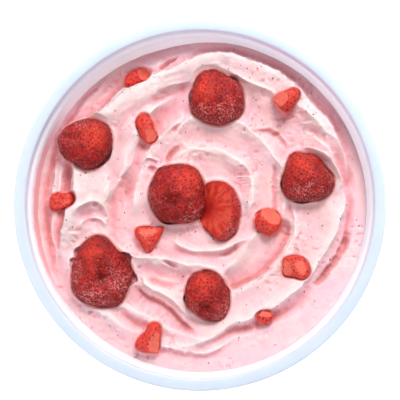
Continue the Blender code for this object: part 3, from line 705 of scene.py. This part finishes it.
cream = Finish("ice_cream")
patches = cream.noise(11.0 * MM, 3.0)
fleck = cream.noise(1.6 * MM, 3.0)
# Painted shade: hollows darken to a deeper, browner pink.
hollow_shade = cream.mark("wide_hollow") * 0.8 + cream.mark("fine_hollow") * 0.6 + (fleck - 0.5) * 0.45
# Painted light: crests and other raised places are painted paler.
crest_light = cream.mark("wide_hollow") * -0.9 - cream.mark("fine_hollow") * 0.25 - (fleck - 0.5) * 0.3
# Painted reflected light: a red cast on the cream next to each fruit.
red_light_cast = (cream.mark("fruit_red_light") * (0.5 + fleck)).smooth(0.1, 1.0)
tone = cream.layers(
    (252, 209, 210), (patches.smooth(0.3, 0.7) * 0.7, (249, 200, 212)),
    (crest_light.smooth(-0.2, 0.8) * 0.65, (255, 240, 238)), (hollow_shade.smooth(0.0, 0.95) * 0.75, (238, 172, 180)),
    (hollow_shade.smooth(0.8, 1.5) * 0.55, (206, 124, 116)), (red_light_cast * 0.75, (226, 104, 96)))
cream.finish(Base_Color=tone, Roughness=0.5, Specular_IOR_Level=0.25, Subsurface_Weight=1.0,
             Subsurface_Scale=0.0011, Subsurface_Radius=(1.0, 0.6, 0.55),
             Normal=cream.bump(cream.noise(0.5 * MM, 4.0), 0.16 * MM))
ice_cream = make_piece("ice_cream_swirl", points, faces, cream.material, marks)
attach(ice_cream, "root")
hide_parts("ice_cream")

# Whole strawberries. Six small frozen strawberries pressed into the swirl. Their skin is deep red
# and puffed up round the seed pits; some have collapsed, with a glossy dark dent and creases, and
# grains of frost cling to their lower sides. Light and shade are painted into the skin's colour:
# brighter patches on the sides that face the light, darker lower sides and shaded zones, and
# darker seed pits.
BERRY_DETAIL = 7
BERRY_FULLNESS = 2.3
CUT_EDGE = 0.4
LEAST_FACING = 0.01


def ball(detail):
    """Unit directions and triangles of the ball that a piece of fruit is shaped from."""
    bm = bmesh.new()
    bmesh.ops.create_icosphere(bm, subdivisions=detail, radius=1.0)
    directions = np.array([vert.co.normalized() for vert in bm.verts])
    triangles = [[vert.index for vert in face.verts] for face in bm.faces]
    bm.free()
    return directions, triangles


def compass(turn, rise):
    """Unit vector at an angle from +X and a rise over the level, in degrees."""
    turn, rise = math.radians(turn), math.radians(rise)
    return np.array([math.cos(rise) * math.cos(turn), math.cos(rise) * math.sin(turn), math.sin(rise)])


def fruit_radius(directions, fruit, fullness):
    """Distance from the fruit's middle to its skin along each direction, in mm."""
    reach = outline_reach(fruit, np.degrees(np.arctan2(directions[:, 1], directions[:, 0])))
    level = np.hypot(directions[:, 0], directions[:, 1])
    height = np.where(directions[:, 2] > 0.0, fruit.top, fruit.bottom)
    total = (level / reach) ** fullness + (np.abs(directions[:, 2]) / height) ** fullness
    radius = total ** (-1.0 / fullness)
    for bearing, rise, width, depth in fruit.dents:
        away = np.degrees(np.arccos(np.clip(directions @ compass(bearing, rise), -1.0, 1.0)))
        radius -= depth * (1.0 - smooth(away / width))
    return radius


def cut_flat(directions, radius, fruit):
    """The radius cut back to the fruit's flat cuts, and 1 where a cut shows."""
    cut = np.zeros_like(radius)
    for bearing, rise, distance in fruit.cuts:
        plane = distance / np.maximum(directions @ compass(bearing, rise), LEAST_FACING)
        cut = np.maximum(cut, smooth((radius - plane) / CUT_EDGE))
        radius = np.minimum(radius, plane)
    return radius, cut


def seed_sites(tip, spacing, size, rng):
    """Directions of the seeds: rows that spiral from the tip, as they grow, a little uneven."""
    count = int(4.0 * math.pi * size ** 2 / (SEED_AREA * spacing ** 2))
    step = np.arange(count) + 0.5
    rise = 1.0 - 2.0 * step / count
    turn = step * math.pi * (3.0 - math.sqrt(5.0))
    level = np.sqrt(1.0 - rise ** 2)
    sites = np.stack([level * np.cos(turn), level * np.sin(turn), rise], axis=1)
    sites += rng.normal(0.0, SEED_UNEVEN * spacing / size, sites.shape)
    sites /= np.linalg.norm(sites, axis=1)[:, None]
    turned = Vector((0.0, 0.0, 1.0)).rotation_difference(Vector(tip))
    return np.array([turned @ Vector(site) for site in sites])


def nearest(spots, points):
    """For each point, the number of the spot nearest to it, and how far away that is."""
    tree = KDTree(len(spots))
    for number, spot in enumerate(spots):
        tree.insert(spot, number)
    tree.balance()
    numbers, distances = zip(*(tree.find(point)[1:] for point in points))
    return np.array(numbers), np.array(distances)


# How a berry looks: where its tip points (direction, rise), its dark zones, glossy dents on top and
# painted shade low on its sides, and its bright patches, painted light on the sides that face the
# light (direction, rise, width), where frost clings (direction, rise, width, how much), and how
# deep it creases.
Skin = namedtuple("Skin", "tip dark bright frost creases")
SKINS = {
    "strawberry_left": Skin((175, 50), ((310, 5, 45),), ((25, 60, 50),),
                            ((180, 15, 60, 0.8), (100, 20, 50, 0.7), (240, 15, 40, 0.6)), 0.1),
    "strawberry_top": Skin((80, 60), ((185, 5, 35),), ((150, 55, 48),),
                           ((300, 35, 65, 1.0), (235, 35, 55, 0.9), (40, 20, 40, 0.5)), 0.15),
    "strawberry_middle": Skin((60, 40), ((205, 72, 30), (255, 60, 22)), ((48, 45, 48),),
                              ((300, 15, 50, 0.8), (190, 15, 45, 0.7)), 0.25),
    "strawberry_right": Skin((115, 25), ((180, 5, 30),), ((120, 48, 55),),
                             ((270, 40, 70, 0.85), (0, 20, 50, 0.6)), 0.15),
    "strawberry_lower_left": Skin((105, 20), ((300, 76, 26), (95, 62, 22), (20, 10, 30)), ((110, 35, 30),),
                                  ((250, 25, 60, 1.0), (330, 30, 55, 1.0), (185, 20, 50, 0.9)), 1.0),
    "strawberry_bottom": Skin((100, 40), ((272, 58, 34), (180, 5, 30)), ((110, 50, 55),),
                              ((310, 15, 55, 0.9), (215, 15, 45, 0.7)), 0.8),
}
SEED_SPACING = 1.5
SEED_AREA = 0.87
SEED_UNEVEN = 0.12
PIT_WIDTH = 0.38
PIT_DEPTH = 0.2
CREASE_DEPTH = 0.75

skin_finish = Finish("strawberry_skin")
frost = skin_finish.mark("frost")
dark = skin_finish.mark("dark")
blotch = skin_finish.noise(2.6 * MM, 3.0)
coarse = skin_finish.noise(0.62 * MM, 2.0)
grains = skin_finish.noise(0.26 * MM, 3.0)
white = frost * (coarse.smooth(0.48, 0.62) * 0.6 + grains.smooth(0.5, 0.66) * 0.35 + 0.02)
red = skin_finish.layers(
    (146, 8, 11), (blotch.smooth(0.3, 0.7), (192, 26, 23)),
    # Painted light: bright patches on the sides that face the light.
    (skin_finish.mark("bright") * (blotch * 0.8 + 0.4), (236, 62, 40)),
    # Painted shade: darker on the lower sides and in the dark zones low on the sides; the dark dents on top
    # are the berry's own colour.
    (skin_finish.mark("side") * 0.7, (112, 5, 10)), (dark * 0.75, (122, 6, 8)),
    # Painted shade: darker in the seed pits.
    (skin_finish.mark("pit") * 0.45, (120, 14, 10)), (white, (240, 158, 160)))
skin_finish.finish(Base_Color=red, Roughness=0.36 + frost * 0.2 - dark * 0.16, Specular_IOR_Level=0.24,
                   Subsurface_Weight=0.3, Subsurface_Scale=0.001, Subsurface_Radius=(1.0, 0.15, 0.12),
                   Normal=skin_finish.bump(grains * 0.7 + coarse * 1.2, 0.26 * MM))


def near(directions, bearing, rise, width, uneven=0.0):
    """1 in the middle of a round patch of a ball, easing to 0 at its ragged edge."""
    away = np.degrees(np.arccos(np.clip(directions @ compass(bearing, rise), -1.0, 1.0)))
    return 1.0 - smooth(away / width + uneven)


def seeded_skin(skin, radius, directions, number):
    """Pits, creases and frost on the skin of a berry: the new radius, its marks and its seeds."""
    rng = np.random.default_rng(100 + number)
    size = float(np.mean(radius))
    sites = seed_sites(compass(*skin.tip), SEED_SPACING, size, rng)
    gap = nearest(sites, directions)[1] * size
    pit = np.exp(-(gap / PIT_WIDTH) ** 2)
    spots = directions * radius[:, None]
    ragged = 0.3 * rough_3d(spots / 1.7, number)
    none = np.zeros_like(radius)
    dark, bright = (np.max([none] + [near(directions, *zone, ragged) for zone in zones], axis=0)
                    for zones in (skin.dark, skin.bright))
    frost = [none + 0.12]
    frost += [zone[3] * near(directions, *zone[:3], 1.5 * ragged) for zone in skin.frost]
    frost = np.max(frost, axis=0) * (1.0 - 0.8 * dark)
    folds = rough_3d(spots / (2.6, 2.6, 1.6), 40 + number) + 0.35 * rough_3d(spots / 1.1, 41 + number)
    valley = np.exp(-(folds / 0.17) ** 2) * (0.35 + 0.3 * dark)
    radius = radius + 0.30 * rough_3d(spots / 2.4, 12 + number) + 0.17 * rough_3d(spots / 0.95, 20 + number)
    radius = radius - skin.creases * CREASE_DEPTH * valley
    radius = radius - PIT_DEPTH * pit * (1.0 - 0.6 * dark)
    radius = radius + frost * 0.10 * rough_3d(spots / 0.4, 30 + number)
    # Painted shade: a mark that darkens the lower side of each berry.
    side = 1.0 - smooth((directions[:, 2] + 0.1) / 0.85)
    return radius, {"frost": frost, "dark": dark, "pit": pit, "bright": bright, "side": side}, sites


def seeds_on(directions, radius, sites, middle):
    """Where the seeds of a fruit lie, in their pits, in mm."""
    found = nearest(directions, sites)[0]
    return middle + directions[found] * radius[found][:, None]


seed_places, seed_facings = [], []
directions, triangles = ball(BERRY_DETAIL)
for number, (name, skin) in enumerate(SKINS.items()):
    fruit = BERRIES[name]
    middle = fruit_middle(fruit)
    smooth_radius = fruit_radius(directions, fruit, BERRY_FULLNESS)
    radius, marks, sites = seeded_skin(skin, smooth_radius, directions, number)
    berry = make_piece(name + "_skin", (middle + directions * radius[:, None]) * MM, triangles,
                       skin_finish.material, marks)
    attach(berry, "root")
    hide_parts(name)
    seed_places.append(seeds_on(directions, radius, sites, middle))
    seed_facings.append(sites)

# Half strawberry. One berry cut lengthways: its smooth cut face is orange-red, with fine pale
# streaks that fan out from the core, and a strip of seeded skin shows behind it.
flesh_finish = Finish("strawberry_flesh")
cut = flesh_finish.mark("cut")
bright = flesh_finish.mark("bright")
mottle = flesh_finish.noise(1.4 * MM, 3.0)
frosty = flesh_finish.noise(0.3 * MM, 2.0)
flesh = flesh_finish.layers(
    (188, 34, 27), (mottle.smooth(0.3, 0.7), (210, 54, 40)),
    (bright * (mottle * 0.6 + 0.5), (254, 136, 116)), (flesh_finish.mark("core") * 0.7, (150, 18, 14)),
    (flesh_finish.mark("streak") * 0.35, (238, 120, 90)))
rind = flesh_finish.layers(
    (168, 16, 16), (mottle.smooth(0.3, 0.7), (196, 34, 28)), (bright * 0.9, (232, 66, 52)),
    # Painted shade: darker in the seed pits.
    (flesh_finish.mark("pit") * 0.4, (140, 24, 14)),
    (flesh_finish.mark("frost") * frosty.smooth(0.45, 0.62) * 0.7, (242, 160, 156)))
flesh_finish.finish(Base_Color=flesh_finish.mix(cut, rind, flesh), Roughness=0.36 + mottle * 0.12,
                    Specular_IOR_Level=0.3, Subsurface_Weight=0.4, Subsurface_Scale=0.0015,
                    Subsurface_Radius=(1.0, 0.2, 0.12),
                    Normal=flesh_finish.bump(frosty + mottle, 0.10 * MM))


def cut_piece(name, fruit, detail_ball, fullness, number, skin, bright, core):
    """A piece with flat cuts: flesh that streaks out from the core on them, skin elsewhere."""
    directions, triangles = detail_ball
    middle = fruit_middle(fruit)
    smooth_radius = fruit_radius(directions, fruit, fullness)
    radius, marks, sites = seeded_skin(skin, smooth_radius, directions, number)
    radius, cut = cut_flat(directions, radius, fruit)
    points = middle + directions * radius[:, None]
    normal = compass(*fruit.cuts[0][:2])
    ahead = np.cross(normal, (0.0, 0.0, 1.0))
    ahead /= np.linalg.norm(ahead)
    upward = np.cross(ahead, normal)
    across, down = (points - middle) @ ahead - core[0], (points - middle) @ upward - core[1]
    fan = np.degrees(np.arctan2(down, across))
    from_core = np.hypot(across, down)
    streak = smooth(0.5 + 0.9 * rough(fan / 5.0, from_core / 2.5, 30 + number))
    marks["streak"] = streak * smooth((from_core - 2.0) / 4.0) * cut
    marks["core"] = (1.0 - smooth(from_core / 5.0)) * cut * (1.0 - bright)
    marks["cut"] = cut
    marks["pit"] = marks["pit"] * (1.0 - cut)
    marks["bright"] = np.maximum(marks["bright"], bright)
    piece = make_piece(name + "_piece", points * MM, triangles, flesh_finish.material, marks)
    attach(piece, "root")
    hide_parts(name)
    on_skin = cut_flat(sites, fruit_radius(sites, fruit, fullness), fruit)[1] < 0.5
    seed_places.append(seeds_on(directions, radius, sites, middle)[on_skin])
    seed_facings.append(sites[on_skin])


HALF_CORE = (0.0, -3.5)
half_skin = Skin((280, 10), (), (), ((300, 15, 60, 0.8), (30, 10, 50, 0.5)), 0.0)
cut_piece("strawberry_half", BERRIES["strawberry_half"], (directions, triangles), BERRY_FULLNESS, 7,
          half_skin, 0.0, HALF_CORE)

# Diced strawberry. Nine small pieces chopped from frozen berries and scattered on top, each with
# one or two pale cut faces and a side of seeded skin.
DICE_DETAIL = 6
DICE_FULLNESS = 2.9
DICE_CORE = (-1.5, -1.5)
DICE_BRIGHT = 0.85

dice_ball = ball(DICE_DETAIL)
for number, (name, fruit) in enumerate(DICES.items()):
    skin = Skin((90 + 40 * number, 20), (), (), ((270, 0, 80, 0.5),), 0.0)
    cut_piece(name, fruit, dice_ball, DICE_FULLNESS, 20 + number, skin, DICE_BRIGHT, DICE_CORE)

# Seeds. The small hard seeds of the strawberries, dark brown with some golden ones, each lying in
# its pit in the skin.
SEED_LENGTH = 0.34
SEED_FLATNESS = (0.55, 1.0, 0.5)
SUNK_FROM_SIGHT = 0.4
TWIST = 0.6
seed_finish = Finish("seeds")
tone = seed_finish.mark("tone")
husk = seed_finish.noise(0.3 * MM, 2.0).smooth(0.4, 0.7)
seed_colour = seed_finish.layers(
    (46, 12, 10), (tone.smooth(0.72, 0.98), (214, 150, 52)), (husk * 0.35, (110, 34, 14)))
seed_finish.finish(Base_Color=seed_colour, Roughness=0.45, Specular_IOR_Level=0.4)


def scatter_tree(name, size, flatness, smallest, largest):
    """Geometry Nodes: a small grain on each point, facing the way the point faces."""
    group = bpy.data.node_groups.new(name, "GeometryNodeTree")
    group.interface.new_socket("Geometry", in_out="INPUT", socket_type="NodeSocketGeometry")
    for label, value in (("Size", size), ("Smallest", smallest), ("Largest", largest)):
        socket = group.interface.new_socket(label, in_out="INPUT", socket_type="NodeSocketFloat")
        socket.default_value = value
    group.interface.new_socket("Finish", in_out="INPUT", socket_type="NodeSocketMaterial")
    group.interface.new_socket("Geometry", in_out="OUTPUT", socket_type="NodeSocketGeometry")
    tree = NodeTree(group)
    given = group.nodes.new("NodeGroupInput").outputs
    points, size, smallest, largest, finish = (Value(tree, given[i]) for i in range(5))
    grain = tree.node("GeometryNodeMeshIcoSphere", {}, {"Subdivisions": 1, "Radius": size})
    grain = tree.node("GeometryNodeTransform", {}, {"Geometry": grain, "Scale": flatness})
    facing = tree.node("GeometryNodeInputNamedAttribute", {"data_type": "FLOAT_VECTOR"}, {"Name": "facing"})
    upright = tree.node("FunctionNodeAlignRotationToVector", {"axis": "Z"}, {"Vector": facing})
    random = ("FunctionNodeRandomValue", {"data_type": "FLOAT"})
    twist = tree.node(*random, {"Min": -TWIST, "Max": TWIST, "Seed": 3}, output=1)
    spin = tree.node("FunctionNodeAxisAngleToRotation", {}, {"Axis": (0.0, 0.0, 1.0), "Angle": twist})
    turn = tree.node("FunctionNodeRotateRotation", {"rotation_space": "LOCAL"},
                     {"Rotation": upright, "Rotate By": spin})
    scale = tree.node(*random, {2: smallest, 3: largest, "Seed": 5}, output=1)
    laid = tree.node("GeometryNodeInstanceOnPoints", {},
                     {"Points": points, "Instance": grain, "Rotation": turn, "Scale": scale})
    tone = tree.node(*random, {"Seed": 9}, output=1)
    toned = tree.node("GeometryNodeStoreNamedAttribute", {"data_type": "FLOAT", "domain": "INSTANCE"},
                      {"Geometry": laid, "Name": "tone", "Value": tone})
    real = tree.node("GeometryNodeRealizeInstances", {}, {"Geometry": toned})
    painted = tree.node("GeometryNodeSetMaterial", {}, {"Geometry": real, "Material": finish})
    result = group.nodes.new("NodeGroupOutput")
    group.links.new(painted.socket, result.inputs["Geometry"])
    return group


def scatter(name, tree, places, facings, material):
    """Run the tree on loose points and keep the result as a plain mesh piece."""
    cloud = bpy.data.meshes.new(name + "_points")
    cloud.from_pydata((np.asarray(places) * MM).tolist(), [], [])
    layer = cloud.attributes.new("facing", "FLOAT_VECTOR", "POINT")
    layer.data.foreach_set("vector", np.asarray(facings, dtype=np.float32).ravel())
    base = bpy.data.objects.new(name + "_points", cloud)
    bpy.context.collection.objects.link(base)
    grow = base.modifiers.new("scatter", "NODES")
    grow.node_group = tree
    for item in tree.interface.items_tree:
        if item.item_type == "SOCKET" and item.in_out == "INPUT" and item.name == "Finish":
            grow[item.identifier] = material
    bpy.context.view_layer.update()
    mesh = bpy.data.meshes.new_from_object(base.evaluated_get(bpy.context.evaluated_depsgraph_get()))
    base.modifiers.remove(grow)
    bpy.data.objects.remove(base, do_unlink=True)
    mesh.name = name
    mesh.shade_smooth()
    piece = bpy.data.objects.new(name, mesh)
    bpy.context.collection.objects.link(piece)
    return piece


places, facings = np.concatenate(seed_places), np.concatenate(seed_facings)
cream_top = LEVEL / MM + surface_height(places[:, 0], places[:, 1])
shown = places[:, 2] > cream_top - SUNK_FROM_SIGHT
seed_tree = scatter_tree("seed in its pit", SEED_LENGTH * MM, SEED_FLATNESS, 0.7, 1.15)
seeds = scatter("strawberry_seeds", seed_tree, places[shown], facings[shown], seed_finish.material)
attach(seeds, "root")

# Specks. Seeds and crumbs of fruit that the ice cream was churned with: tiny black, brown, red and
# golden grains that lie all over its surface.
SPECKS = 330
SPECK_SIZE = 0.16
SPECK_FLATNESS = (0.8, 1.3, 0.4)
SPECK_RADIUS = 51.5
SLOPE_STEP = 0.2
SPECK_LIFT = 0.02
speck_finish = Finish("specks")
tone = speck_finish.mark("tone")
flecks = speck_finish.noise(0.2 * MM, 2.0).smooth(0.4, 0.7)
grain = speck_finish.layers(
    (60, 38, 48), (tone.smooth(0.18, 0.26), (140, 66, 60)), (tone.smooth(0.36, 0.44), (226, 104, 108)),
    (tone.smooth(0.86, 0.92), (222, 160, 84)), (flecks * 0.4, (150, 80, 80)))
speck_finish.finish(Base_Color=grain, Roughness=0.5, Specular_IOR_Level=0.3)
rng = np.random.default_rng(41)
reach = SPECK_RADIUS * np.sqrt(rng.uniform(0.0, 1.0, SPECKS))
turn = rng.uniform(0.0, 2.0 * math.pi, SPECKS)
sx, sy = reach * np.cos(turn), reach * np.sin(turn)
heights = surface_height(sx, sy)
slope_x = (surface_height(sx + SLOPE_STEP, sy) - heights) / SLOPE_STEP
slope_y = (surface_height(sx, sy + SLOPE_STEP) - heights) / SLOPE_STEP
facings = np.stack([-slope_x, -slope_y, np.ones_like(sx)], axis=1)
facings /= np.linalg.norm(facings, axis=1)[:, None]
places = np.stack([sx, sy, LEVEL / MM + heights + SPECK_LIFT], axis=1)
speck_tree = scatter_tree("speck", SPECK_SIZE * MM, SPECK_FLATNESS, 0.4, 2.0)
specks = scatter("cream_specks", speck_tree, places, facings, speck_finish.material)
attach(specks, "root")

# Floor, light and camera. A plain white studio: a pale floor, a large soft light over the far
# side, a weaker one on the near left, and a camera nearly straight above the tub.
FLOOR_HALF = 3.0
AIR_LIGHT = 0.34
SENSOR_WIDTH = 36.0
LENS = 133.3
CAMERA_PLACE = (0.019, -0.0315, TUB_HEIGHT + 0.466)
CAMERA_AIM = (0.0003, 0.0010, TUB_HEIGHT)
floor_finish = Finish("studio_floor")
cloudy = floor_finish.noise(0.4, 2.0)
floor_finish.finish(Base_Color=floor_finish.mix(cloudy, (250, 250, 250), (252, 252, 252)), Roughness=0.8,
                    Specular_IOR_Level=0.2, Emission_Color=(1.0, 1.0, 1.0, 1.0), Emission_Strength=0.85)
corners = [(x * FLOOR_HALF, y * FLOOR_HALF, 0.0) for x, y in ((-1, -1), (1, -1), (1, 1), (-1, 1))]
floor = make_piece("studio_floor", corners, [(0, 1, 2, 3)], floor_finish.material)

world = bpy.data.worlds.new("studio_air")
world.use_nodes = True
world.node_tree.nodes["Background"].inputs["Color"].default_value = (1.0, 1.0, 1.0, 1.0)
world.node_tree.nodes["Background"].inputs["Strength"].default_value = AIR_LIGHT
bpy.context.scene.world = world


def soft_light(name, place, size, power, colour):
    """A square light that faces the middle of the ice cream."""
    light = bpy.data.lights.new(name, "AREA")
    light.shape = "SQUARE"
    light.size = size
    light.energy = power
    light.color = colour
    lamp = bpy.data.objects.new(name, light)
    lamp.location = place
    towards = Vector((0.0, 0.0, LEVEL)) - Vector(place)
    lamp.rotation_euler = towards.to_track_quat("-Z", "Y").to_euler()
    bpy.context.collection.objects.link(lamp)


soft_light("key_light", (0.22, 0.68, 0.93), 0.42, 11.8, (1.0, 0.99, 0.97))
soft_light("fill_light", (-0.7, -0.35, 0.8), 0.8, 3.0, (1.0, 0.86, 0.9))

camera = bpy.data.objects.new("camera", bpy.data.cameras.new("camera"))
camera.data.sensor_width = SENSOR_WIDTH
camera.data.lens = LENS
camera.location = CAMERA_PLACE
back = (camera.location - Vector(CAMERA_AIM)).normalized()
right = Vector((0.0, 1.0, 0.0)).cross(back).normalized()
camera.rotation_euler = Matrix((right, back.cross(right), back)).transposed().to_euler()
bpy.context.collection.objects.link(camera)
bpy.context.scene.camera = camera
bpy.context.scene.view_settings.view_transform = "Standard"
